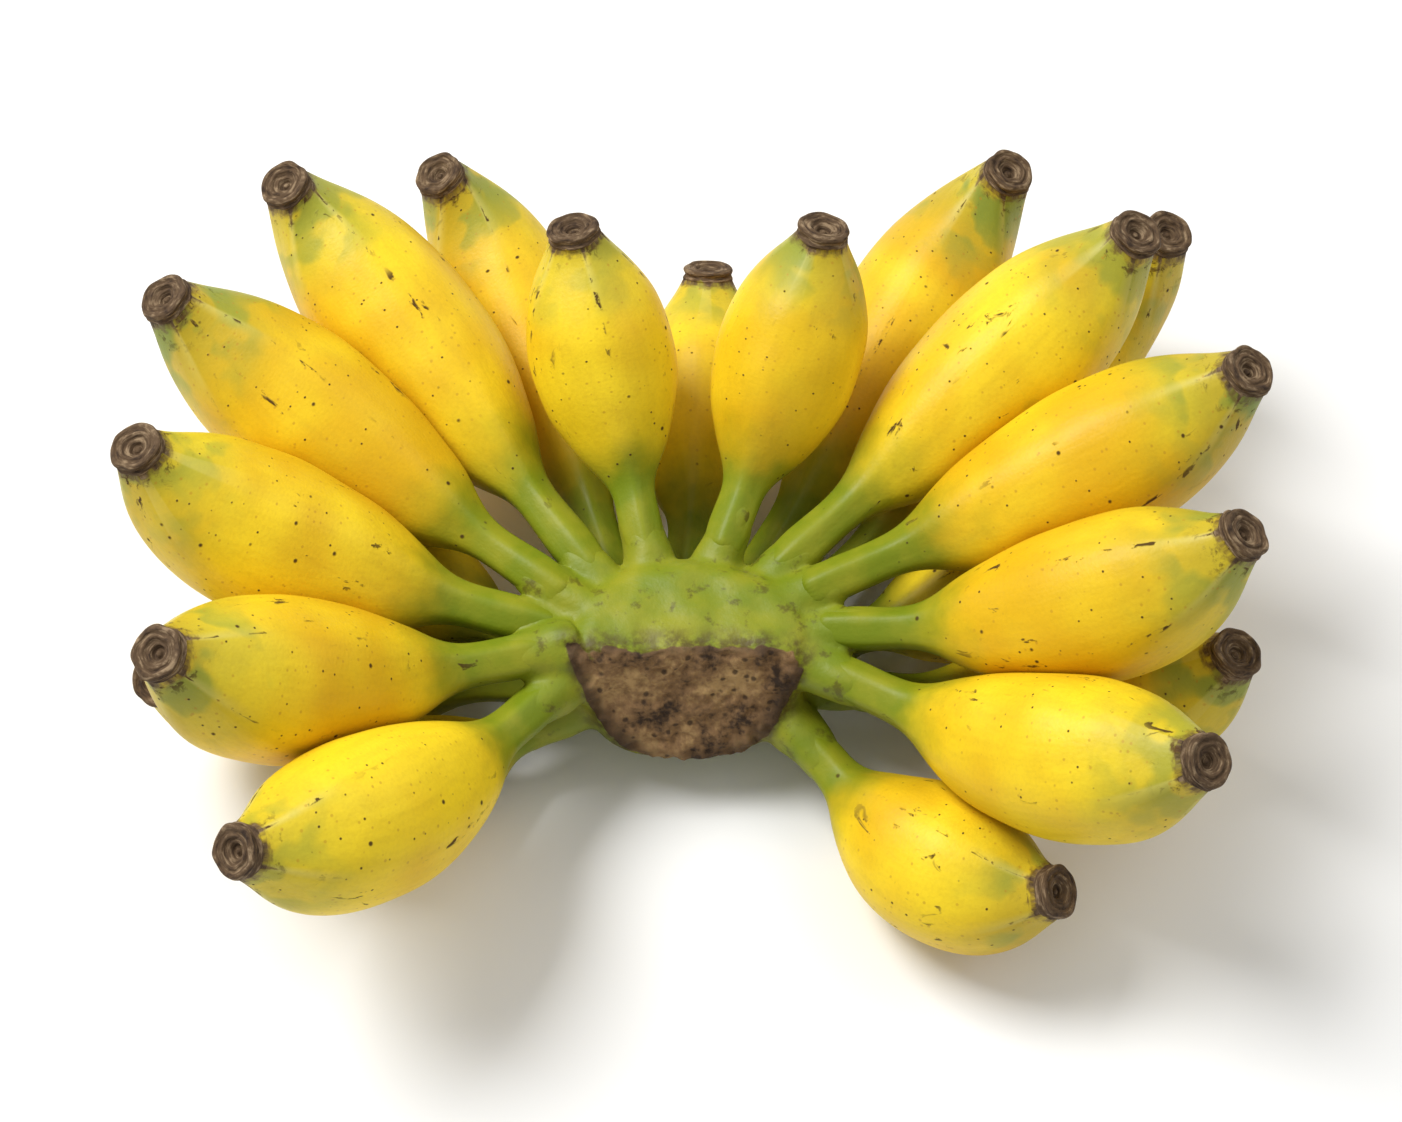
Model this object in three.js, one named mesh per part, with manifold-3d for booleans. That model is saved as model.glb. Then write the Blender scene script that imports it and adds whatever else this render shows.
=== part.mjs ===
// A hand of small, plump bananas: every finger still grows from one cut crown.
// Units are millimetres, +Z is up. The hand lies on its lower row, the tips curving up.
// Inside this file places are measured from the crown's axis and the surface that the hand lies on.

import * as THREE from 'three';
import { mergeVertices } from 'three/addons/utils/BufferGeometryUtils.js';
import Module from 'manifold-3d';

const wasm = await Module();
wasm.setup();

// ---- crown: the cushion of stem that the fingers grow from ----
const CROWN_HALF_WIDTH = 23.2;
const CROWN_HALF_DEPTH = 17.2;
const CROWN_BOTTOM = 9;
const CROWN_TOP = 36;
const CROWN_SIDES = 36;
const CUT_Y = -11.5; // where the knife passed, at the crown's mid height
const CUT_LEAN = THREE.MathUtils.degToRad(25); // the cut face looks a little upwards
const CUT_TOOL = 100; // a block larger than the crown

// ---- fingers ----
const ROOT_HALF_WIDTH = 24.6; // ellipse of the finger roots round the crown
const ROOT_HALF_DEPTH = 18.6;
const BELLY_SHARE = 0.6; // where along its curve a finger passes its belly point
const CAP_RADIUS = 4.9; // dry blossom end, and about the stalk's thickness
const BELLY_RADIUS = 16; // of the outline below; each finger scales it to its own girth
const KEEL = 0.02; // the five long ridges stand out by this share of the radius
const KEELS = 5;
const RING_COUNT = 16;
const FINGER_SIDES = 15;
const PRESS_GAP = 0.4; // left between fingers that flatten each other
const PRESS_ROUNDS = 12;

// a finger's outline: share of its length, radius
const OUTLINE = new THREE.SplineCurve([
  new THREE.Vector2(0, 5.2),
  new THREE.Vector2(0.12, 4.2),
  new THREE.Vector2(0.23, 4.6),
  new THREE.Vector2(0.32, 9),
  new THREE.Vector2(0.43, 13.3),
  new THREE.Vector2(0.54, 15.5),
  new THREE.Vector2(0.65, BELLY_RADIUS),
  new THREE.Vector2(0.77, 14.3),
  new THREE.Vector2(0.86, 10.9),
  new THREE.Vector2(0.93, 6.9),
  new THREE.Vector2(0.97, 5.1),
  new THREE.Vector2(1, CAP_RADIUS),
]);

// stalk: degrees round the crown from +X, and height; belly and tip: points on the centreline;
// radius: half the finger's thickness at its belly
const UPPER_ROW = [
  { stalk: [200, 27], belly: [-57, -42, 41], tip: [-78, -58, 61], radius: 15.6 },
  { stalk: [188, 32], belly: [-74, -18, 48], tip: [-92, -26, 74], radius: 15.6 },
  { stalk: [172, 30], belly: [-83, 15, 48], tip: [-100, 18, 71], radius: 15.6 },
  { stalk: [155, 32], belly: [-79, 47, 44], tip: [-99, 55, 65], radius: 15.6 },
  { stalk: [134, 30], belly: [-64, 75, 40], tip: [-79, 86, 59], radius: 15.6 },
  { stalk: [108, 31], belly: [-17, 55, 47], tip: [-22, 69, 68], radius: 14.2 },
  { stalk: [76, 31], belly: [20, 55, 47], tip: [26, 69, 68], radius: 14.2 },
  { stalk: [50, 30], belly: [70, 61, 46], tip: [86, 70, 65], radius: 15.6 },
  { stalk: [29, 32], belly: [85, 32, 50], tip: [104, 36, 69], radius: 15.6 },
  { stalk: [9, 30], belly: [77, -1, 48], tip: [100, 0, 71], radius: 15.6 },
  { stalk: [-12, 28], belly: [69, -30, 41], tip: [91, -42, 64], radius: 15.6 },
];
const LOWER_ROW = [
  { stalk: [201, 16], belly: [-58, -24, 14], tip: [-76, -31, 22], radius: 13 },
  { stalk: [184, 16], belly: [-79, -3, 19], tip: [-98, -14, 41], radius: 14.8 },
  { stalk: [165, 16], belly: [-66, 27, 14], tip: [-85, 33, 22], radius: 13.6 },
  { stalk: [122, 16], belly: [-38, 88, 20], tip: [-51, 102, 41], radius: 14.8 },
  { stalk: [92, 16], belly: [3, 72, 15], tip: [4, 90, 25], radius: 14 },
  { stalk: [64, 16], belly: [50, 88, 21], tip: [65, 101, 43], radius: 14.8 },
  { stalk: [38, 16], belly: [77, 72, 19], tip: [95, 83, 47], radius: 14 },
  { stalk: [18, 16], belly: [66, 22, 15], tip: [85, 27, 23], radius: 13.6 },
  { stalk: [-4, 16], belly: [83, -7, 19], tip: [102, -8, 41], radius: 14.8 },
  { stalk: [-34, 16], belly: [50, -42, 17], tip: [68, -51, 29], radius: 14.8 },
];

const peel = new THREE.MeshStandardMaterial({ color: 0xf0cd24, roughness: 0.5, metalness: 0 });
const cutStem = new THREE.MeshStandardMaterial({ color: 0x7d8f2a, roughness: 0.8, metalness: 0 });

// ---- centrelines ----

/** The curve from a finger's root on the crown through its belly to its tip. */
function centreline({ stalk, belly, tip }) {
  const turn = THREE.MathUtils.degToRad(stalk[0]);
  const root = new THREE.Vector3(ROOT_HALF_WIDTH * Math.cos(turn), ROOT_HALF_DEPTH * Math.sin(turn), stalk[1]);
  const end = new THREE.Vector3(...tip);
  const s = BELLY_SHARE;
  const control = new THREE.Vector3(...belly)
    .addScaledVector(root, -((1 - s) ** 2))
    .addScaledVector(end, -(s ** 2))
    .divideScalar(2 * s * (1 - s));
  return new THREE.QuadraticBezierCurve3(root, control, end);
}

/** The outline's radius on a finger of this girth: stalk and cap keep their size, the body grows. */
function girthOf(radius, belly) {
  const body = Math.max(radius - CAP_RADIUS, 0) / (BELLY_RADIUS - CAP_RADIUS);
  return Math.min(radius, CAP_RADIUS) + body * (belly - CAP_RADIUS);
}

/** A finger's rings: centre, radius, and the two directions that its section lies in. */
function ringsOf(spec) {
  const line = centreline(spec);
  return OUTLINE.getPoints(RING_COUNT).map(({ x: share, y: radius }) => {
    const along = THREE.MathUtils.clamp(share, 0, 1);
    const tangent = line.getTangentAt(along);
    const side = new THREE.Vector3().crossVectors(tangent, new THREE.Vector3(0, 0, 1)).normalize();
    const top = new THREE.Vector3().crossVectors(side, tangent);
    return { centre: line.getPointAt(along), radius: girthOf(radius, spec.radius), side, top };
  });
}

// ---- pressing ----

const segment = new THREE.Line3();
const nearest = new THREE.Vector3();

/** How far a point lies outside the round skin that these rings make; negative inside. */
function distanceToSkin(point, rings) {
  let least = Infinity;
  for (let i = 1; i < rings.length; i += 1) {
    segment.set(rings[i - 1].centre, rings[i].centre);
    const share = segment.closestPointToPointParameter(point, true);
    segment.at(share, nearest);
    const radius = THREE.MathUtils.lerp(rings[i - 1].radius, rings[i].radius, share);
    least = Math.min(least, nearest.distanceTo(point) - radius);
  }
  return least;
}

/** The radius that a ring can have in one direction before it meets a neighbour halfway. */
function pressedRadius(ring, direction, radius, own, neighbours) {
  const point = new THREE.Vector3();
  let pressed = radius;
  for (let round = 0; round < PRESS_ROUNDS; round += 1) {
    point.copy(ring.centre).addScaledVector(direction, pressed);
    const free = Math.min(...neighbours.map((rings) => distanceToSkin(point, rings)));
    const excess = PRESS_GAP - (free - distanceToSkin(point, own));
    if (excess <= 0) break;
    pressed -= excess / 2;
  }
  return pressed;
}

// ---- solids ----

/** One closed skin over rings of points, each end drawn together to its ring's centre. */
function closedSkin(straight, place) {
  straight.deleteAttribute('normal');
  straight.deleteAttribute('uv');
  const merged = mergeVertices(straight);
  const corners = merged.index.array;
  const faces = [];
  for (let i = 0; i < corners.length; i += 3) {
    const [a, b, c] = corners.slice(i, i + 3);
    if (a !== b && b !== c && c !== a) faces.push(a, b, c);
  }
  merged.setIndex(faces);
  const positions = merged.attributes.position;
  const point = new THREE.Vector3();
  for (let i = 0; i < positions.count; i += 1) {
    place(point.fromBufferAttribute(positions, i));
    positions.setXYZ(i, point.x, point.y, point.z);
  }
  merged.computeVertexNormals();
  return merged;
}

/** A finger: lathed straight with one unit of height to a ring, then bent along its rings and pressed. */
function fingerGeometry(own, neighbours) {
  const last = own.length - 1;
  const profile = own.map((ring, i) => new THREE.Vector2(1, i));
  profile.unshift(new THREE.Vector2(0, 0));
  profile.push(new THREE.Vector2(0, last));
  const straight = new THREE.LatheGeometry(profile, FINGER_SIDES);
  return closedSkin(straight, (point) => {
    const ring = own[Math.round(point.y)];
    if (Math.hypot(point.x, point.z) < 0.5) {
      point.copy(ring.centre);
      return;
    }
    const turn = Math.atan2(point.x, point.z);
    const direction = new THREE.Vector3()
      .addScaledVector(ring.side, Math.sin(turn))
      .addScaledVector(ring.top, Math.cos(turn));
    const round = ring.radius * (1 + KEEL * Math.cos(KEELS * turn));
    const radius = pressedRadius(ring, direction, round, own, neighbours);
    point.copy(ring.centre).addScaledVector(direction, radius);
  });
}

/** A three.js geometry as a solid that can be cut. */
function solidOf(geometry) {
  return new wasm.Manifold(new wasm.Mesh({
    numProp: 3,
    vertProperties: new Float32Array(geometry.attributes.position.array),
    triVerts: new Uint32Array(geometry.index.array),
  }));
}

/** A cut solid as a three.js geometry. */
function geometryOf(solid) {
  const { vertProperties, triVerts } = solid.getMesh();
  const geometry = new THREE.BufferGeometry();
  geometry.setAttribute('position', new THREE.BufferAttribute(vertProperties, 3));
  geometry.setIndex(new THREE.BufferAttribute(triVerts, 1));
  geometry.computeVertexNormals();
  return geometry;
}

/** The crown: a low barrel, oval in plan, with the face where it was cut from the stem. */
function crownGeometry() {
  const barrel = [
    new THREE.Vector2(0, CROWN_BOTTOM),
    new THREE.Vector2(0.72, CROWN_BOTTOM),
    new THREE.Vector2(0.92, CROWN_BOTTOM + 2),
    new THREE.Vector2(1, CROWN_BOTTOM + 6),
    new THREE.Vector2(1, CROWN_TOP - 7),
    new THREE.Vector2(0.9, CROWN_TOP - 2.5),
    new THREE.Vector2(0.68, CROWN_TOP - 0.5),
    new THREE.Vector2(0, CROWN_TOP),
  ];
  const whole = closedSkin(new THREE.LatheGeometry(barrel, CROWN_SIDES), (point) => {
    point.set(point.z * CROWN_HALF_WIDTH, point.x * CROWN_HALF_DEPTH, point.y);
  });
  const block = new THREE.BoxGeometry(CUT_TOOL, CUT_TOOL, CUT_TOOL);
  block.translate(0, -CUT_TOOL / 2, 0);
  block.rotateX(-CUT_LEAN);
  block.translate(0, CUT_Y, (CROWN_BOTTOM + CROWN_TOP) / 2);
  const knife = closedSkin(block, (point) => point);
  return geometryOf(solidOf(whole).subtract(solidOf(knife)));
}

// ---- the hand ----

const hand = new THREE.Group();

function addPiece(name, geometry, material) {
  const mesh = new THREE.Mesh(geometry, material);
  mesh.name = name;
  hand.add(mesh);
}

addPiece('crown', crownGeometry(), cutStem);

const fingers = [
  ...UPPER_ROW.map((spec, i) => ({ name: `finger_upper_${i + 1}`, rings: ringsOf(spec) })),
  ...LOWER_ROW.map((spec, i) => ({ name: `finger_lower_${i + 1}`, rings: ringsOf(spec) })),
];
for (const { name, rings } of fingers) {
  const neighbours = fingers.filter((other) => other.name !== name).map((other) => other.rings);
  addPiece(name, fingerGeometry(rings, neighbours), peel);
}

// the origin is under the middle of the hand, on the surface that it lies on
const extent = new THREE.Box3().setFromObject(hand);
const middle = extent.getCenter(new THREE.Vector3());
hand.position.set(-middle.x, -middle.y, -extent.min.z);

export default hand;
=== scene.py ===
"""A hand of small, plump, ripe bananas on its cut crown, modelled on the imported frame.

Laid out as a Blender add-on: one operator for each group of pieces and one for the stage. Run as a script, it
makes the whole hand. Lengths are metres. Places inside the hand are measured in millimetres from the crown's
axis and from the surface that the hand lies on, as the fingers were laid out when the frame was made.
"""

import math
from functools import partial

import bpy
import numpy as np
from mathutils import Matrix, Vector, noise


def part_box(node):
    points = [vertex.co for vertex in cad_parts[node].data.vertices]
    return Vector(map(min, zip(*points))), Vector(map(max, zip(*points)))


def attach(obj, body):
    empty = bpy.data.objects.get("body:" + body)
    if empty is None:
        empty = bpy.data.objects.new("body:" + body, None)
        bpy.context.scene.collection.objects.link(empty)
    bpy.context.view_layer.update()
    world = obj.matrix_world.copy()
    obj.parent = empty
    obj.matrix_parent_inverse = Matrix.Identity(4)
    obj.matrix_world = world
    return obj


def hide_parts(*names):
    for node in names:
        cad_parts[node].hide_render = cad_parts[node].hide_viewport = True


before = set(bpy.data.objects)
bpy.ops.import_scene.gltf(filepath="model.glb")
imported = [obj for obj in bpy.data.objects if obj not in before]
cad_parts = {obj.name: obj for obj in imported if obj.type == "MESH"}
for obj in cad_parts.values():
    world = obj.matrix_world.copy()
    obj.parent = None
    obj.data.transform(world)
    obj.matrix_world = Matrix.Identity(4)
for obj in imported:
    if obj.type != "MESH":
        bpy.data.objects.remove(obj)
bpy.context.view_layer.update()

bl_info = {
    "name": "Banana Hand",
    "version": (1, 0, 0),
    "blender": (4, 5, 0),
    "location": "3D View > Sidebar > Banana Hand",
    "description": "Models a hand of small ripe bananas with its cut crown",
    "category": "Add Mesh",
}

MM = 0.001
FLOOR_GAP = 0.1 * MM

# ---- the layout that the frame was made to, in millimetres ----

CROWN_HALF_WIDTH = 23.2
CROWN_HALF_DEPTH = 17.2
CROWN_BOTTOM = 9
CROWN_TOP = 36
CUT_Y = -11.5
CUT_LEAN = math.radians(25)

ROOT_HALF_WIDTH = 24.6
ROOT_HALF_DEPTH = 18.6
BELLY_SHARE = 0.6
CAP_RADIUS = 4.9
BELLY_RADIUS = 16
PRESS_GAP = 0.3
PRESS_ROUNDS = 10

# how far a stalk's foot on the crown covers the stalk, and the radius of the stalk's end inside it
FOOT_REACH = 11
HIDDEN_RADIUS = 3.4

# share of the length, radius
OUTLINE = (
    (0, 5.2), (0.12, 4.2), (0.23, 4.6), (0.32, 9), (0.43, 13.3), (0.54, 15.5), (0.65, BELLY_RADIUS),
    (0.77, 14.3), (0.86, 10.9), (0.93, 6.9), (0.97, 5.1), (1, CAP_RADIUS),
)

# (degrees round the crown, height) of the stalk; belly; tip; half thickness at the belly
UPPER_ROW = (
    ((200, 27), (-57, -42, 41), (-78, -58, 61), 15.6),
    ((188, 32), (-74, -18, 48), (-92, -26, 74), 15.6),
    ((172, 30), (-83, 15, 48), (-100, 18, 71), 15.6),
    ((155, 32), (-79, 47, 44), (-99, 55, 65), 15.6),
    ((134, 30), (-64, 75, 40), (-79, 86, 59), 15.6),
    ((108, 31), (-17, 55, 47), (-22, 69, 68), 14.2),
    ((76, 31), (20, 55, 47), (26, 69, 68), 14.2),
    ((50, 30), (70, 61, 46), (86, 70, 65), 15.6),
    ((29, 32), (85, 32, 50), (104, 36, 69), 15.6),
    ((9, 30), (77, -1, 48), (100, 0, 71), 15.6),
    ((-12, 28), (69, -30, 41), (91, -42, 64), 15.6),
)
LOWER_ROW = (
    ((201, 16), (-58, -24, 14), (-76, -31, 22), 13),
    ((184, 16), (-79, -3, 19), (-98, -14, 41), 14.8),
    ((165, 16), (-66, 27, 14), (-85, 33, 22), 13.6),
    ((122, 16), (-38, 88, 20), (-51, 102, 41), 14.8),
    ((92, 16), (3, 72, 15), (4, 90, 25), 14),
    ((64, 16), (50, 88, 21), (65, 101, 43), 14.8),
    ((38, 16), (77, 72, 19), (95, 83, 47), 14),
    ((18, 16), (66, 22, 15), (85, 27, 23), 13.6),
    ((-4, 16), (83, -7, 19), (102, -8, 41), 14.8),
    ((-34, 16), (50, -42, 17), (68, -51, 29), 14.8),
)

# ---- the straight finger that all the others are bent from, in millimetres ----

MASTER_LENGTH = 100
CAP_LENGTH = 3
CAGE_SIDES = 25
BODY_RINGS = 27
KEELS = 5

# the dry blossom end, from the peel's last ring: height above that ring, radius
BLOSSOM = (
    (0.2, 5.0), (0.55, 5.2), (0.9, 5.1), (1.2, 4.75), (1.5, 4.8), (1.95, 5.05), (2.45, 5.0), (2.85, 4.6),
    (2.9, 4.1), (2.5, 3.75), (2.35, 3.4), (2.7, 3.05), (2.75, 2.7), (2.2, 2.35), (1.85, 2.0), (2.05, 1.65),
    (1.6, 1.35), (0.9, 1.1), (0.95, 0.75), (1.5, 0.5), (1.6, 0.25),
)


# ---- small helpers ----

def colour(code):
    """An sRGB hex value as the linear colour that a shader wants."""
    parts = [int(code[i:i + 2], 16) / 255 for i in (1, 3, 5)]
    linear = [c / 12.92 if c <= 0.04045 else ((c + 0.055) / 1.055) ** 2.4 for c in parts]
    return (*linear, 1)


def deselect():
    if bpy.context.object and bpy.context.object.mode != "OBJECT":
        bpy.ops.object.mode_set(mode="OBJECT")
    bpy.ops.object.select_all(action="DESELECT")


def select_only(piece):
    deselect()
    piece.select_set(True)
    bpy.context.view_layer.objects.active = piece


def apply_modifiers(piece):
    select_only(piece)
    for modifier in list(piece.modifiers):
        bpy.ops.object.modifier_apply(modifier=modifier.name)


def vertices_of(mesh):
    flat = np.empty(len(mesh.vertices) * 3, np.float32)
    mesh.vertices.foreach_get("co", flat)
    return flat.reshape(-1, 3).astype(float)


def move_vertices(mesh, places):
    mesh.vertices.foreach_set("co", np.asarray(places, np.float32).ravel())
    mesh.update()


def write_attribute(mesh, name, values):
    """One value, or one vector, for each vertex, that the subdivision carries on to the fine surface."""
    values = np.asarray(values, np.float32)
    kind, key = ("FLOAT_VECTOR", "vector") if values.ndim == 2 else ("FLOAT", "value")
    mesh.attributes.new(name, kind, "POINT").data.foreach_set(key, values.ravel())


def smoothstep(low, high, value):
    share = np.clip((value - low) / (high - low), 0, 1)
    return share * share * (3 - 2 * share)


# ---- centrelines and pressing ----

def outline_radius(shares):
    """The outline's radius at each share of the length: a Catmull-Rom curve through its points."""
    points = np.array(OUTLINE, float)
    padded = np.vstack([points[0], points, points[-1]])
    steps = np.linspace(0, 1, 12, endpoint=False)[:, None]
    curve = []
    for a, b, c, d in zip(padded, padded[1:], padded[2:], padded[3:]):
        linear, square, cube = c - a, 2 * a - 5 * b + 4 * c - d, 3 * b - a - 3 * c + d
        curve.append(b + (linear * steps + square * steps ** 2 + cube * steps ** 3) / 2)
    curve = np.vstack([*curve, points[-1:]])
    return np.interp(shares, curve[:, 0], curve[:, 1])


def girth(radius, belly):
    """The outline's radius on a finger of this girth: stalk and cap keep their size, the body grows."""
    body = np.maximum(radius - CAP_RADIUS, 0) / (BELLY_RADIUS - CAP_RADIUS)
    return np.minimum(radius, CAP_RADIUS) + body * (belly - CAP_RADIUS)


class Centreline:
    """A finger's curve from its root on the crown through its belly to its tip, measured along its length."""

    FINENESS = 400

    def __init__(self, stalk, belly, tip):
        turn = math.radians(stalk[0])
        root = np.array([ROOT_HALF_WIDTH * math.cos(turn), ROOT_HALF_DEPTH * math.sin(turn), stalk[1]])
        belly, tip, s = np.array(belly, float), np.array(tip, float), BELLY_SHARE
        control = (belly - (1 - s) ** 2 * root - s ** 2 * tip) / (2 * s * (1 - s))
        u = np.linspace(0, 1, self.FINENESS + 1)[:, None]
        self.points = (1 - u) ** 2 * root + 2 * u * (1 - u) * control + u ** 2 * tip
        slope = 2 * (1 - u) * (control - root) + 2 * u * (tip - control)
        self.tangents = slope / np.linalg.norm(slope, axis=1)[:, None]
        steps = np.linalg.norm(np.diff(self.points, axis=0), axis=1)
        self.lengths = np.concatenate([[0], np.cumsum(steps)])
        self.length = self.lengths[-1]

    def at(self, distance):
        """Points, and the side and top directions there; past the tip the line goes straight on."""
        inside = np.clip(distance, 0, self.length)
        points = np.stack([np.interp(inside, self.lengths, self.points[:, k]) for k in range(3)], -1)
        tangents = np.stack([np.interp(inside, self.lengths, self.tangents[:, k]) for k in range(3)], -1)
        tangents /= np.linalg.norm(tangents, axis=1)[:, None]
        points = points + tangents * (distance - inside)[:, None]
        side = np.cross(tangents, [0, 0, 1])
        side /= np.linalg.norm(side, axis=1)[:, None]
        return points, side, np.cross(side, tangents)


class Finger:
    """One finger's name, centreline and round skin before pressing."""

    RINGS = 40

    def __init__(self, name, index, stalk, belly, tip, radius):
        self.name, self.index, self.belly = name, index, radius
        self.line = Centreline(stalk, belly, tip)
        shares = np.linspace(0, 1, self.RINGS + 1)
        self.centres = self.line.at(shares * self.line.length)[0]
        self.radii = girth(outline_radius(shares), radius)

    def distance_to_skin(self, places):
        start, step = self.centres[:-1], np.diff(self.centres, axis=0)
        offset = places[:, None] - start
        share = np.clip((offset * step).sum(-1) / (step * step).sum(-1), 0, 1)
        radius = self.radii[:-1] + share * np.diff(self.radii)
        return (np.linalg.norm(offset - share[..., None] * step, axis=-1) - radius).min(1)

    def could_touch(self, other):
        """Whether two fingers come near enough to press each other."""
        reach = self.belly + other.belly
        apart = np.linalg.norm(self.centres[:, None] - other.centres[None], axis=-1)
        return apart.min() < reach


def all_fingers():
    rows = [("finger_upper", UPPER_ROW), ("finger_lower", LOWER_ROW)]
    named = [(f"{row}_{i + 1}", spec) for row, specs in rows for i, spec in enumerate(specs)]
    return [Finger(name, index, *spec) for index, (name, spec) in enumerate(named)]


def pressed(centres, directions, radii, own, neighbours):
    """The radius that each place can have before it meets a neighbour halfway."""
    radii = radii.copy()
    for _ in range(PRESS_ROUNDS):
        places = centres + directions * radii[:, None]
        free = np.min([n.distance_to_skin(places) for n in neighbours], axis=0)
        radii -= np.maximum(PRESS_GAP - (free - own.distance_to_skin(places)), 0) / 2
    return radii


def crown_place():
    """The crown's axis at the surface that the hand lies on, in millimetres of the frame."""
    low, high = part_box("crown")
    return np.array([(low.x + high.x) / 2, high.y - CROWN_HALF_DEPTH * MM, high.z - CROWN_TOP * MM]) / MM


# ---- the fingers ----

def model_straight_finger():
    """A straight finger on +Z: a circle extruded ring by ring up the outline and into the blossom end's pit."""
    body = MASTER_LENGTH - CAP_LENGTH
    shares = np.linspace(0, body / MASTER_LENGTH, BODY_RINGS)
    rings = list(zip(shares * MASTER_LENGTH, outline_radius(shares)))
    rings += [(body + height, radius) for height, radius in BLOSSOM]
    deselect()
    bpy.ops.mesh.primitive_circle_add(vertices=CAGE_SIDES, radius=rings[0][1], fill_type="NGON")
    straight = bpy.context.object
    bpy.ops.object.mode_set(mode="EDIT")
    bpy.ops.mesh.select_all(action="SELECT")
    for (below, inner), (above, outer) in zip(rings, rings[1:]):
        bpy.ops.mesh.extrude_region_move(TRANSFORM_OT_translate={"value": (0, 0, above - below)})
        bpy.ops.transform.resize(value=(outer / inner, outer / inner, 1))
    bpy.ops.mesh.select_all(action="SELECT")
    bpy.ops.mesh.normals_make_consistent(inside=False)
    bpy.ops.object.mode_set(mode="OBJECT")
    straight.name = "straight_finger"
    return straight


def ridge(turn, share):
    """How far the five keels stand out, as a share of the radius: faint on the belly, plain at both ends."""
    ends = 1 - smoothstep(0.18, 0.5, share) * (1 - smoothstep(0.7, 0.97, share))
    crest = np.cos(KEELS * turn)
    return (0.026 + 0.05 * ends) * (0.6 * crest + 0.4 * np.maximum(crest, 0) ** 3)


def unevenness(places, seed, grain, depth):
    """Soft dents and swellings, as a length at each place."""
    shift = Vector((seed * 7.3, seed * 3.1, seed * 5.7))
    return np.array([noise.noise(Vector(p) / grain + shift) * depth for p in places])


def bend_finger(straight, finger, fingers, settings):
    """A copy of the straight finger, bent along its own line, pressed against its neighbours and made fine."""
    piece = straight.copy()
    piece.data = straight.data.copy()
    piece.name = piece.data.name = finger.name.replace("finger", "banana")
    bpy.context.collection.objects.link(piece)

    master = vertices_of(piece.data)
    body = MASTER_LENGTH - CAP_LENGTH
    height = master[:, 2]
    on_body = finger.line.length - CAP_LENGTH
    distance = np.where(height <= body, height / body * on_body, on_body + height - body)
    share = distance / finger.line.length
    turn = np.arctan2(master[:, 0], master[:, 1]) + finger.index * 1.7
    radius = girth(np.hypot(master[:, 0], master[:, 1]), finger.belly)
    hidden = smoothstep(0, FOOT_REACH - 1, distance)
    radius = np.minimum(radius, HIDDEN_RADIUS + hidden * (radius - HIDDEN_RADIUS))
    blossom = smoothstep(body - 0.2, body + 0.6, height)
    past_edge = np.clip((height - body) / 12 + 0.5, 0, 1)

    rough = unevenness(master, finger.index, 14, 0.5) * (1 - blossom)
    rough += unevenness(master, finger.index + 40, 1.6, 0.55) * blossom
    skin = radius * (1 + ridge(turn, share) * (1 - 0.5 * blossom))
    skin += rough * np.clip(radius / CAP_RADIUS, 0, 1)

    centres, side, top = finger.line.at(distance)
    directions = side * np.sin(turn)[:, None] + top * np.cos(turn)[:, None]
    neighbours = [other for other in fingers if other is not finger and finger.could_touch(other)]
    skin = pressed(centres, directions, skin, finger, neighbours) if neighbours else skin
    places = (centres + directions * skin[:, None] + crown_place()) * MM
    places[:, 2] = np.maximum(places[:, 2], FLOOR_GAP)
    move_vertices(piece.data, places)

    write_attribute(piece.data, "share", share)
    write_attribute(piece.data, "keel", np.cos(KEELS * turn))
    write_attribute(piece.data, "blossom", past_edge)
    write_attribute(piece.data, "tone", np.full(len(share), (finger.index * 0.618) % 1))
    along = np.column_stack([np.sin(turn) * radius, np.cos(turn) * radius, distance + finger.index * 230])
    write_attribute(piece.data, "straight", along * MM)

    smooth = piece.modifiers.new("fine", "SUBSURF")
    smooth.levels = smooth.render_levels = settings.fineness
    apply_modifiers(piece)
    bpy.ops.object.shade_smooth()
    return piece


# ---- the crown ----

def model_crown_body():
    """The oval cushion: a cylinder with rounded rims, and the face where the knife passed."""
    deselect()
    middle = (CROWN_BOTTOM + CROWN_TOP) / 2
    bpy.ops.mesh.primitive_cylinder_add(
        vertices=64, radius=1, depth=CROWN_TOP - CROWN_BOTTOM - 1, location=(0, 0, middle),
        scale=(CROWN_HALF_WIDTH, CROWN_HALF_DEPTH, 1))
    body = bpy.context.object
    bpy.ops.object.transform_apply(location=True, rotation=True, scale=True)
    rims = body.modifiers.new("rims", "BEVEL")
    rims.width = 6
    rims.segments = 4
    rims.angle_limit = math.radians(40)
    apply_modifiers(body)
    bpy.ops.object.mode_set(mode="EDIT")
    bpy.ops.mesh.select_all(action="SELECT")
    bpy.ops.mesh.bisect(
        plane_co=(0, CUT_Y, middle), plane_no=(0, -math.cos(CUT_LEAN), math.sin(CUT_LEAN)),
        use_fill=True, clear_outer=True)
    bpy.ops.object.mode_set(mode="OBJECT")
    return body


def model_stalk_foot(finger):
    """Where one stalk runs into the cushion: a cone that dives under the cushion's top."""
    root = finger.line.points[0]
    inside = 3 if root[1] < -2 else 11
    ahead = Vector(finger.line.at(np.array([float(FOOT_REACH)]))[0][0])
    outward = (ahead - Vector(root)).normalized()
    start = Vector(root) - outward * inside - Vector((0, 0, inside * 0.3))
    run = ahead - start
    deselect()
    bpy.ops.mesh.primitive_cone_add(
        vertices=20, radius1=6, radius2=3.9, depth=run.length, location=start + run / 2,
        rotation=run.to_track_quat("Z", "Y").to_euler())
    return bpy.context.object


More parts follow.
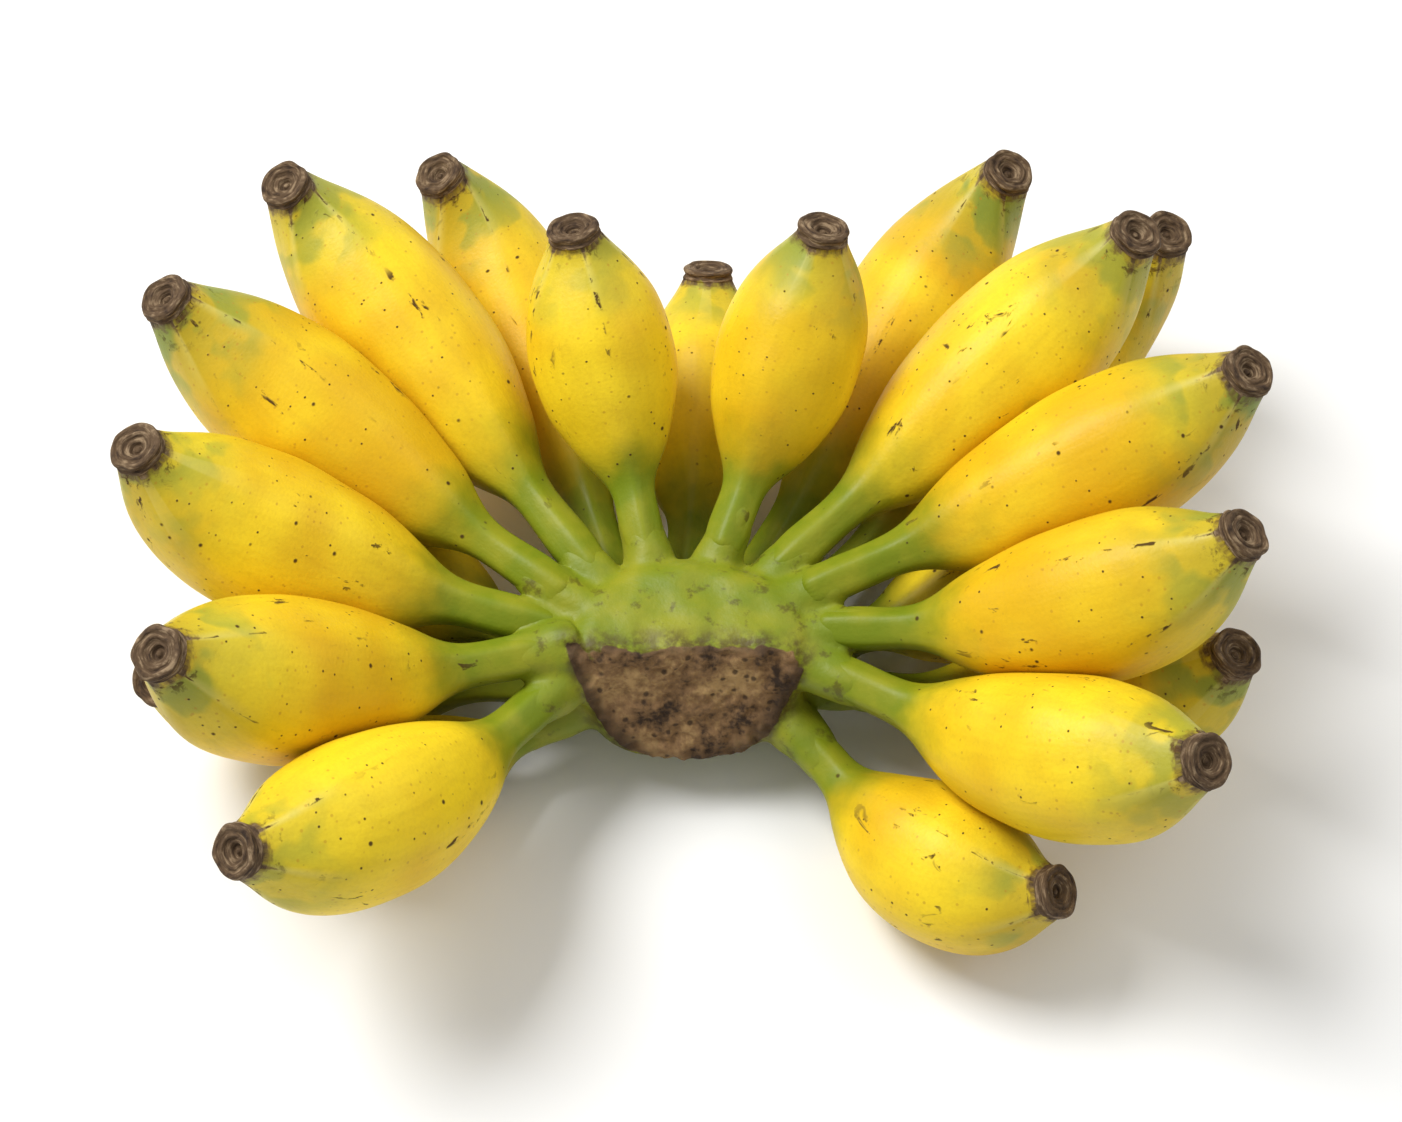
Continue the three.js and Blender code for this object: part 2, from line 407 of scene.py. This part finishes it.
def cut_plane():
    """A point on the face where the hand was cut from the stem, and its outward normal, in frame metres."""
    point = np.array([0, CUT_Y, (CROWN_BOTTOM + CROWN_TOP) / 2]) + crown_place()
    return point * MM, np.array([0, -math.cos(CUT_LEAN), math.sin(CUT_LEAN)])


def model_crown(fingers):
    """The cushion and the stalks' feet grown together, then cut."""
    parts = [model_crown_body()] + [model_stalk_foot(finger) for finger in fingers]
    deselect()
    for part in parts:
        part.select_set(True)
    bpy.context.view_layer.objects.active = parts[0]
    bpy.ops.object.join()
    crown = bpy.context.object
    crown.name = crown.data.name = "crown_cushion"
    bpy.ops.object.transform_apply(location=True, rotation=True, scale=True)
    move_vertices(crown.data, (vertices_of(crown.data) + crown_place()) * MM)

    fuse = crown.modifiers.new("fuse", "REMESH")
    fuse.mode = "VOXEL"
    fuse.voxel_size = 0.6 * MM
    soften = crown.modifiers.new("soften", "SMOOTH")
    soften.factor = 0.5
    soften.iterations = 22
    apply_modifiers(crown)

    point, normal = cut_plane()
    places = vertices_of(crown.data)
    local = places / MM - crown_place()
    depth = (places - point) @ normal / MM
    oval = np.hypot(local[:, 0] / CROWN_HALF_WIDTH, local[:, 1] / CROWN_HALF_DEPTH)
    middle, half = (CROWN_BOTTOM + CROWN_TOP) / 2, (CROWN_TOP - CROWN_BOTTOM) / 2
    across = np.maximum(oval, np.abs(local[:, 2] - middle) / half)
    ragged = unevenness(local, 7, 4, 0.9) + unevenness(local, 8, 1.4, 0.5)
    face = smoothstep(-1.5, -0.5, depth + ragged) * (1 - smoothstep(0.99, 1.05, oval))
    face *= 1 - smoothstep(0.6, 1.6, depth)
    beside = smoothstep(-6, -1, depth + 2 * ragged) * (1 - smoothstep(1.0, 1.12, oval))
    sunken = face * (0.9 * (1 - smoothstep(0.55, 0.95, across)) + unevenness(local, 3, 1.7, 0.9)
                     + unevenness(local, 5, 5, 0.8))
    bumps = unevenness(local, 9, 6, 0.7) * (1 - face)
    normals = np.empty(len(places) * 3, np.float32)
    crown.data.vertices.foreach_get("normal", normals)
    outward = normals.reshape(-1, 3)
    move_vertices(crown.data, places + (outward * bumps[:, None] - normal * sunken[:, None]) * MM)
    write_attribute(crown.data, "cut", face)
    write_attribute(crown.data, "across", across)
    write_attribute(crown.data, "beside_cut", beside)
    bpy.ops.object.shade_smooth()
    return crown


# ---- materials ----

MATH = "ShaderNodeMath"
RISE = "ShaderNodeMapRange"
NOISE = "ShaderNodeTexNoise"
MIX = "ShaderNodeMix"
ADD = {"operation": "ADD"}
SUBTRACT = {"operation": "SUBTRACT"}
MULTIPLY = {"operation": "MULTIPLY"}
LARGER = {"operation": "MAXIMUM"}
BELOW = {"operation": "LESS_THAN"}
SMOOTHLY = {"interpolation_type": "SMOOTHSTEP"}
COLOURS = {"data_type": "RGBA"}


def add_node(tree, kind, settings, *inputs, output=0, **named):
    """A new node's output. Inputs fill its sockets in order, or by identifier with _ for a space."""
    node = tree.nodes.new(kind)
    for name, value in settings.items():
        setattr(node, name, value)
    sockets = {socket.identifier.replace(" ", "_"): socket for socket in node.inputs}
    filled = [*zip(node.inputs, inputs), *((sockets[name], value) for name, value in named.items())]
    for socket, value in filled:
        if isinstance(value, bpy.types.NodeSocket):
            tree.links.new(value, socket)
        else:
            socket.default_value = value
    return node.outputs[output] if node.outputs else node


def new_material(name):
    """An empty material, and the function that adds a node to it."""
    material = bpy.data.materials.new(name)
    material.use_nodes = True
    material.node_tree.nodes.clear()
    return material, partial(add_node, material.node_tree)


def per_metre(size_mm):
    """The scale of a pattern whose repeats are this many millimetres apart."""
    return 1 / (size_mm * MM)


def specks(add, vector, spacing_mm, radius_mm, keep):
    """Round dots in some of the cells of a pattern with this spacing; keep is the share of cells with one."""
    distance = add("ShaderNodeTexVoronoi", {}, vector, Scale=per_metre(spacing_mm))
    reach = radius_mm / spacing_mm
    dot = add(MATH, SUBTRACT, 1, add(RISE, SMOOTHLY, distance, reach * 0.4, reach))
    lot = add("ShaderNodeSeparateColor", {}, distance.node.outputs["Color"])
    return add(MATH, MULTIPLY, dot, add(MATH, BELOW, lot, keep))


def stem_green(add, colours):
    """The green of living stem, drifting over about 9 mm; it runs unbroken from the crown up the stalks."""
    place = add("ShaderNodeTexCoord", {}, output="Object")
    drift = add(RISE, SMOOTHLY, add(NOISE, {}, place, Scale=per_metre(9), Detail=3), 0.3, 0.75)
    return add(MIX, COLOURS, drift, A_Color=colours.stalk_green, B_Color=colours.pale_green, output=2)


def ripe_yellow(add, straight, fibres, tone, colours):
    """Broad drifts of lemon and gold, about 25 mm across, and faint fibres running from end to end."""
    drift = add(NOISE, {}, straight, Scale=per_metre(25), Detail=2)
    own = add(MATH, MULTIPLY, add(MATH, SUBTRACT, tone, 0.5), 0.25)
    drift = add(RISE, SMOOTHLY, add(MATH, ADD, drift, own), 0.3, 0.72)
    yellow = add(MIX, COLOURS, drift, A_Color=colours.lemon, B_Color=colours.gold, output=2)
    streak = add(RISE, SMOOTHLY, add(NOISE, {}, fibres, Scale=per_metre(2.2), Detail=3), 0.35, 0.75)
    mottle = add(RISE, SMOOTHLY, add(NOISE, {}, straight, Scale=per_metre(0.8), Detail=2), 0.4, 0.7)
    darker = add(MATH, ADD, add(MATH, MULTIPLY, streak, 0.14), add(MATH, MULTIPLY, mottle, 0.1))
    return add(MIX, COLOURS, darker, A_Color=yellow, B_Color=colours.ochre, output=2)


def lingering_green(add, straight, share, keel, tone, yellow, colours):
    """Green stays longest on the stalk and, in patches, before the blossom end; the keels there are pale."""
    wander = add(MATH, SUBTRACT, add(NOISE, {}, straight, Scale=per_metre(9), Detail=3), 0.5)
    place = add(MATH, ADD, share, add(MATH, MULTIPLY, wander, 0.16))
    patches = add(NOISE, {}, straight, Scale=per_metre(11), Detail=2)
    patches = add(MATH, LARGER, add(RISE, SMOOTHLY, patches, 0.36, 0.56), 0.5)
    amount = add(MATH, ADD, add(MATH, MULTIPLY, tone, 0.35), 0.65)
    tip = add(MATH, MULTIPLY, add(RISE, SMOOTHLY, place, 0.7, 0.95), patches)
    tip = add(MATH, MULTIPLY, tip, amount)
    skin = add(MIX, COLOURS, tip, A_Color=yellow, B_Color=colours.tip_green, output=2)
    stalk = add(MATH, SUBTRACT, 1, add(RISE, SMOOTHLY, place, 0.2, 0.4))
    skin = add(MIX, COLOURS, stalk, A_Color=skin, B_Color=stem_green(add, colours), output=2)
    pale = add(MATH, MULTIPLY, add(RISE, SMOOTHLY, keel, 0.6, 1), add(RISE, SMOOTHLY, share, 0.75, 0.95))
    pale = add(MATH, MULTIPLY, pale, 0.4)
    return add(MIX, COLOURS, pale, A_Color=skin, B_Color=colours.pale_keel, output=2)


def peel_marks(add, straight, share, keel):
    """Dots under 1 mm all over, dashes of 2 to 5 mm along the keels, and scratches where fruit rubbed."""
    dots = add(MATH, LARGER, specks(add, straight, 2.6, 0.34, 0.5), specks(add, straight, 6, 0.6, 0.55))

    drawn_out = add("ShaderNodeMapping", {}, straight, Scale=(1, 1, 0.45))
    dashes = add(NOISE, {}, drawn_out, Scale=per_metre(2.2), Detail=4, Roughness=0.6)
    dashes = add(RISE, SMOOTHLY, dashes, 0.53, 0.6)
    stretches = add(RISE, SMOOTHLY, add(NOISE, {}, straight, Scale=per_metre(22), Detail=1), 0.42, 0.52)
    wobble = add(MATH, MULTIPLY, add(NOISE, {}, straight, Scale=per_metre(5), Detail=2), 0.24)
    crest = add(RISE, SMOOTHLY, add(MATH, ADD, keel, wobble), 0.99, 1.06)
    crest = add(MATH, MULTIPLY, crest, add(RISE, SMOOTHLY, share, 0.34, 0.5))
    dashes = add(MATH, MULTIPLY, add(MATH, MULTIPLY, dashes, stretches), crest)

    scratches = add(NOISE, {}, drawn_out, Scale=per_metre(3.5), Detail=4, Roughness=0.6, Distortion=0.6)
    rubbed = add(RISE, SMOOTHLY, add(NOISE, {}, straight, Scale=per_metre(30), Detail=1), 0.52, 0.62)
    scratches = add(MATH, MULTIPLY, add(RISE, SMOOTHLY, scratches, 0.63, 0.69), rubbed)

    scuffs = add(NOISE, {}, straight, Scale=per_metre(3), Detail=5, Roughness=0.65, Distortion=0.4)
    at_the_tip = add(RISE, SMOOTHLY, share, 0.89, 0.97)
    scuffs = add(MATH, MULTIPLY, add(RISE, SMOOTHLY, scuffs, 0.55, 0.66), at_the_tip)

    marks = add(MATH, LARGER, add(MATH, LARGER, dots, dashes), add(MATH, LARGER, scratches, scuffs))
    return add(MATH, MULTIPLY, marks, add(RISE, SMOOTHLY, share, 0.1, 0.25))


def pale_flecks(add, straight, share):
    """Faint tan flecks, 0.8 mm across, between the dots: pores that have begun to brown."""
    flecks = add(MATH, MULTIPLY, specks(add, straight, 1.9, 0.42, 0.5), 0.5)
    return add(MATH, MULTIPLY, flecks, add(RISE, SMOOTHLY, share, 0.25, 0.45))


def dry_blossom(add, straight, colours):
    """The dry end's colour, grey-brown in rings about 1.4 mm apart, and the pattern of those rings."""
    flattened = add("ShaderNodeMapping", {}, straight, Scale=(0.5, 0.5, 3))
    rings = add(NOISE, {}, flattened, Scale=per_metre(1.4), Detail=4, Roughness=0.6)
    brown, pale = add(RISE, SMOOTHLY, rings, 0.3, 0.5), add(RISE, SMOOTHLY, rings, 0.5, 0.68)
    dry = add(MIX, COLOURS, brown, A_Color=colours.dry_dark, B_Color=colours.dry_brown, output=2)
    dry = add(MIX, COLOURS, pale, A_Color=dry, B_Color=colours.dry_pale, output=2)
    return dry, rings


def peel_material(colours):
    """Ripe banana peel: a thin waxy skin that grew, so the shine is soft and the surface finely stippled."""
    material, add = new_material("waxy_banana_peel")
    share, keel, tone, blossom = (
        add("ShaderNodeAttribute", {"attribute_name": name}, output="Fac")
        for name in ("share", "keel", "tone", "blossom"))
    straight = add("ShaderNodeAttribute", {"attribute_name": "straight"}, output="Vector")
    fibres = add("ShaderNodeMapping", {}, straight, Scale=(1, 1, 0.12))

    skin = ripe_yellow(add, straight, fibres, tone, colours)
    skin = lingering_green(add, straight, share, keel, tone, skin, colours)
    flecks = pale_flecks(add, straight, share)
    skin = add(MIX, COLOURS, flecks, A_Color=skin, B_Color=colours.tan, output=2)
    marks = peel_marks(add, straight, share, keel)
    browned = add(MATH, MULTIPLY, marks, 0.94)
    skin = add(MIX, COLOURS, browned, A_Color=skin, B_Color=colours.bruise, output=2)

    # the dry end's ragged edge reaches furthest along the keels, and its brown bleeds into the peel
    ragged = add(NOISE, {}, straight, Scale=per_metre(2.2), Detail=4, Roughness=0.65)
    ragged = add(MATH, SUBTRACT, ragged, 0.5)
    edge = add(MATH, ADD, blossom, add(MATH, MULTIPLY, ragged, 0.22))
    edge = add(MATH, ADD, edge, add(MATH, MULTIPLY, add(RISE, SMOOTHLY, keel, 0.6, 1), 0.06))
    bled = add(MATH, ADD, edge, add(MATH, MULTIPLY, add(RISE, SMOOTHLY, keel, 0.8, 1), 0.16))
    bled = add(RISE, SMOOTHLY, add(MATH, ADD, bled, add(MATH, MULTIPLY, ragged, 0.4)), 0.34, 0.56)
    skin = add(MIX, COLOURS, add(MATH, MULTIPLY, bled, 0.8), A_Color=skin, B_Color=colours.bled, output=2)
    dead = add(RISE, SMOOTHLY, edge, 0.5, 0.55)
    dry, rings = dry_blossom(add, straight, colours)
    base = add(MIX, COLOURS, dead, A_Color=skin, B_Color=dry, output=2)

    # wax is semi-matt and uneven over about 6 mm; whatever is dead and brown is matt
    sheen = add(MATH, MULTIPLY, add(NOISE, {}, straight, Scale=per_metre(6), Detail=3), 0.14)
    matt = add(MATH, MULTIPLY, add(MATH, LARGER, dead, marks), 0.35)
    rough = add(MATH, ADD, add(MATH, ADD, sheen, 0.4), matt)

    # relief: the peel's stipple, coarser than the real 0.3 mm so that it shows, its fibres, and the dry rings
    stipple = add(MATH, MULTIPLY, add(NOISE, {}, straight, Scale=per_metre(0.7), Detail=2), 0.35)
    strands = add(MATH, MULTIPLY, add(NOISE, {}, fibres, Scale=per_metre(1.6), Detail=2), 0.5)
    relief = add(MATH, SUBTRACT, add(MATH, ADD, stipple, strands), add(MATH, MULTIPLY, marks, 0.5))
    relief = add(MATH, ADD, relief, add(MATH, MULTIPLY, add(MATH, MULTIPLY, rings, dead), 3))
    bump = add("ShaderNodeBump", {}, Height=relief, Strength=0.5, Distance=0.3 * MM)

    shader = add("ShaderNodeBsdfPrincipled", {}, Base_Color=base, Roughness=rough, Normal=bump, IOR=1.44,
                 Specular_IOR_Level=0.32)
    add("ShaderNodeOutputMaterial", {}, shader)
    return material


def cut_pith(add, place, across, fibre, bundles, colours):
    """Brown pith in broad drifts, dark ends of the fibre bundles 2 mm apart, and a rim dried darker."""
    drift = add(MATH, MULTIPLY, add(NOISE, {}, place, Scale=per_metre(9), Detail=4), 0.65)
    tone = add(MATH, ADD, drift, add(MATH, MULTIPLY, fibre, 0.35))
    brown, pale = add(RISE, SMOOTHLY, tone, 0.36, 0.5), add(RISE, SMOOTHLY, tone, 0.48, 0.64)
    pith = add(MIX, COLOURS, brown, A_Color=colours.dry_dark, B_Color=colours.pith, output=2)
    pith = add(MIX, COLOURS, pale, A_Color=pith, B_Color=colours.pale_pith, output=2)
    outer = add(MATH, ADD, across, add(MATH, MULTIPLY, fibre, 0.2))
    dark = add(MATH, LARGER, bundles, add(RISE, SMOOTHLY, outer, 0.98, 1.1))
    dark = add(MATH, MULTIPLY, dark, 0.8)
    return add(MIX, COLOURS, dark, A_Color=pith, B_Color=colours.dry_dark, output=2)


def crown_material(colours):
    """Fleshy green stem, cut with a knife: the face has dried matt, fibrous and brown in the air."""
    material, add = new_material("cut_banana_stem")
    cut, across, beside_cut = (
        add("ShaderNodeAttribute", {"attribute_name": name}, output="Fac")
        for name in ("cut", "across", "beside_cut"))
    place = add("ShaderNodeTexCoord", {}, output="Object")

    # the living stem, with stains about 4 mm across and a dried margin beside the cut
    stain = add(NOISE, {}, place, Scale=per_metre(4), Detail=5, Roughness=0.65)
    stain = add(MATH, MULTIPLY, add(RISE, SMOOTHLY, stain, 0.56, 0.68), 0.55)
    dried = add(NOISE, {}, place, Scale=per_metre(2.4), Detail=4, Roughness=0.6)
    dried = add(RISE, SMOOTHLY, dried, 0.3, 0.62)
    dried = add(MATH, MULTIPLY, add(MATH, MULTIPLY, dried, beside_cut), 0.8)
    green = add(MIX, COLOURS, add(MATH, LARGER, stain, dried), A_Color=stem_green(add, colours),
                B_Color=colours.bruise, output=2)

    fibre = add(NOISE, {}, place, Scale=per_metre(1.3), Detail=4, Roughness=0.6)
    bundles = specks(add, place, 2.1, 0.75, 0.55)
    pith = cut_pith(add, place, across, fibre, bundles, colours)
    face = add(RISE, SMOOTHLY, cut, 0.3, 0.7)
    base = add(MIX, COLOURS, face, A_Color=green, B_Color=pith, output=2)

    skin = add(MATH, MULTIPLY, add(NOISE, {}, place, Scale=per_metre(0.9), Detail=3), 0.5)
    grain = add(MATH, MULTIPLY, add(MATH, SUBTRACT, fibre, bundles), face)
    bump = add("ShaderNodeBump", {}, Height=add(MATH, ADD, skin, grain), Strength=0.5, Distance=0.4 * MM)
    rough = add(MATH, ADD, add(MATH, MULTIPLY, face, 0.38), 0.5)
    shader = add("ShaderNodeBsdfPrincipled", {}, Base_Color=base, Roughness=rough, Normal=bump, IOR=1.44,
                 Specular_IOR_Level=0.4)
    add("ShaderNodeOutputMaterial", {}, shader)
    return material


def paper_material(colours):
    """Studio paper: matt, white, with the faintest unevenness over about 120 mm."""
    material, add = new_material("matt_studio_paper")
    place = add("ShaderNodeTexCoord", {}, output="Object")
    drift = add(NOISE, {}, place, Scale=per_metre(120), Detail=1)
    base = add(MIX, COLOURS, drift, A_Color=colours.paper, B_Color=colours.paper_shade, output=2)
    shader = add("ShaderNodeBsdfPrincipled", {}, Base_Color=base, Roughness=0.85)
    add("ShaderNodeOutputMaterial", {}, shader)
    return material


# ---- settings ----

def colour_setting(name, description, code):
    return bpy.props.FloatVectorProperty(
        name=name, description=description, subtype="COLOR", size=4, min=0, max=1, default=colour(code))


class HAND_PG_peel(bpy.types.PropertyGroup):
    """Colours of the peel and the stem."""
    lemon: colour_setting("Lemon", "Lighter yellow of the ripe peel", "#F0D022")
    gold: colour_setting("Gold", "Deeper yellow of the ripe peel", "#DDAF12")
    ochre: colour_setting("Ochre", "Fibres and keels in the peel", "#B08A16")
    tip_green: colour_setting("Tip green", "Green left before the blossom end", "#7F8E34")
    stalk_green: colour_setting("Stalk green", "Green of the stalks", "#6F7F10")
    pale_green: colour_setting("Pale green", "Lighter drifts in the stem's green", "#8E9020")
    pale_keel: colour_setting("Pale keel", "Keels before the blossom end", "#D9CE78")
    bled: colour_setting("Bled brown", "Stain that runs from the blossom end into the peel", "#5E4222")
    bruise: colour_setting("Bruise", "Dots, dashes and scuffs", "#3F240D")
    tan: colour_setting("Tan", "Faint flecks between the dots", "#B07F1E")
    dry_dark: colour_setting("Dry dark", "Darkest of the dry blossom end and of the cut's rim", "#33251A")
    dry_brown: colour_setting("Dry brown", "Middle brown of the dry blossom end", "#5A4631")
    dry_pale: colour_setting("Dry pale", "Palest rings of the dry blossom end", "#8F795D")
    pith: colour_setting("Pith", "Browned pith of the cut", "#7D6040")
    pale_pith: colour_setting("Pale pith", "Palest drifts in the cut", "#A98A5C")
    paper: colour_setting("Paper", "The floor's white", "#F4F4F3")
    paper_shade: colour_setting("Paper shade", "The floor's faint unevenness", "#EFEFEE")


class HAND_PG_shape(bpy.types.PropertyGroup):
    """Sizes that a user would change."""
    fineness: bpy.props.IntProperty(
        name="Fineness", description="Subdivision levels of a finger", default=2, min=0, max=3)
    floor_size: bpy.props.FloatProperty(
        name="Floor size", description="Width of the pale floor", default=6, min=1, unit="LENGTH")


# ---- operators ----

class HAND_OT_stage(bpy.types.Operator):
    """Lay the pale floor, hang the soft lights and set the camera."""
    bl_idname = "hand.stage"
    bl_label = "Stage"

    VIEW_HEIGHT = math.radians(60)
    VIEW_DISTANCE = 0.611
    VIEW_CENTRE = (2.5, 18, 29)
    LENS = 81.7

    def execute(self, context):
        shape = context.scene.hand_shape
        deselect()
        bpy.ops.mesh.primitive_plane_add(size=shape.floor_size)
        floor = context.object
        floor.name = "floor"
        floor.data.materials.append(paper_material(context.scene.hand_peel))

        centre = Vector(np.array(self.VIEW_CENTRE) + crown_place()) * MM
        back = Vector((0, -math.cos(self.VIEW_HEIGHT), math.sin(self.VIEW_HEIGHT)))
        bpy.ops.object.camera_add(location=centre + back * self.VIEW_DISTANCE)
        camera = context.object
        camera.rotation_euler = (-back).to_track_quat("-Z", "Y").to_euler()
        camera.data.lens = self.LENS
        camera.data.sensor_width = 36
        camera.data.clip_start = 0.01
        context.scene.camera = camera

        self.soft_light("key", (-0.6, 0.3, 1.0), 0.55, 15)
        self.soft_light("fill", (0.7, 0.3, 0.9), 0.9, 3)
        world = bpy.data.worlds.new("studio")
        context.scene.world = world
        world.use_nodes = True
        world.node_tree.nodes["Background"].inputs["Color"].default_value = (1, 1, 1, 1)
        world.node_tree.nodes["Background"].inputs["Strength"].default_value = 0.45
        context.scene.view_settings.view_transform = "Standard"
        return {"FINISHED"}

    def soft_light(self, name, place, size, power):
        bpy.ops.object.light_add(type="AREA", location=place)
        light = bpy.context.object
        light.name = name
        light.data.size = size
        light.data.energy = power
        light.rotation_euler = Vector(place).to_track_quat("Z", "Y").to_euler()


class HAND_OT_fingers(bpy.types.Operator):
    """Model one straight banana, then bend a copy of it for each finger of the hand."""
    bl_idname = "hand.fingers"
    bl_label = "Fingers"

    def execute(self, context):
        straight = model_straight_finger()
        peel = peel_material(context.scene.hand_peel)
        fingers = all_fingers()
        for finger in fingers:
            banana = bend_finger(straight, finger, fingers, context.scene.hand_shape)
            banana.data.materials.append(peel)
            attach(banana, "root")
            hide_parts(finger.name)
        bpy.data.objects.remove(straight)
        return {"FINISHED"}


class HAND_OT_crown(bpy.types.Operator):
    """Grow the crown's cushion and the stalks' feet together and cut the face."""
    bl_idname = "hand.crown"
    bl_label = "Crown"

    def execute(self, context):
        crown = model_crown(all_fingers())
        crown.data.materials.append(crown_material(context.scene.hand_peel))
        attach(crown, "root")
        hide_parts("crown")
        return {"FINISHED"}


class HAND_PT_panel(bpy.types.Panel):
    """The hand's operators and settings in the sidebar."""
    bl_idname = "HAND_PT_panel"
    bl_label = "Banana Hand"
    bl_space_type = "VIEW_3D"
    bl_region_type = "UI"
    bl_category = "Banana Hand"

    def draw(self, context):
        for operator in OPERATORS:
            self.layout.operator(operator.bl_idname)
        for group in (context.scene.hand_shape, context.scene.hand_peel):
            for name in group.__annotations__:
                self.layout.prop(group, name)


OPERATORS = (HAND_OT_stage, HAND_OT_fingers, HAND_OT_crown)
CLASSES = (HAND_PG_peel, HAND_PG_shape, *OPERATORS, HAND_PT_panel)


def register():
    for cls in CLASSES:
        bpy.utils.register_class(cls)
    bpy.types.Scene.hand_peel = bpy.props.PointerProperty(type=HAND_PG_peel)
    bpy.types.Scene.hand_shape = bpy.props.PointerProperty(type=HAND_PG_shape)


def unregister():
    del bpy.types.Scene.hand_shape
    del bpy.types.Scene.hand_peel
    for cls in reversed(CLASSES):
        bpy.utils.unregister_class(cls)


def main():
    register()
    bpy.ops.hand.stage()
    bpy.ops.hand.fingers()
    bpy.ops.hand.crown()


if __name__ == "__main__":
    main()
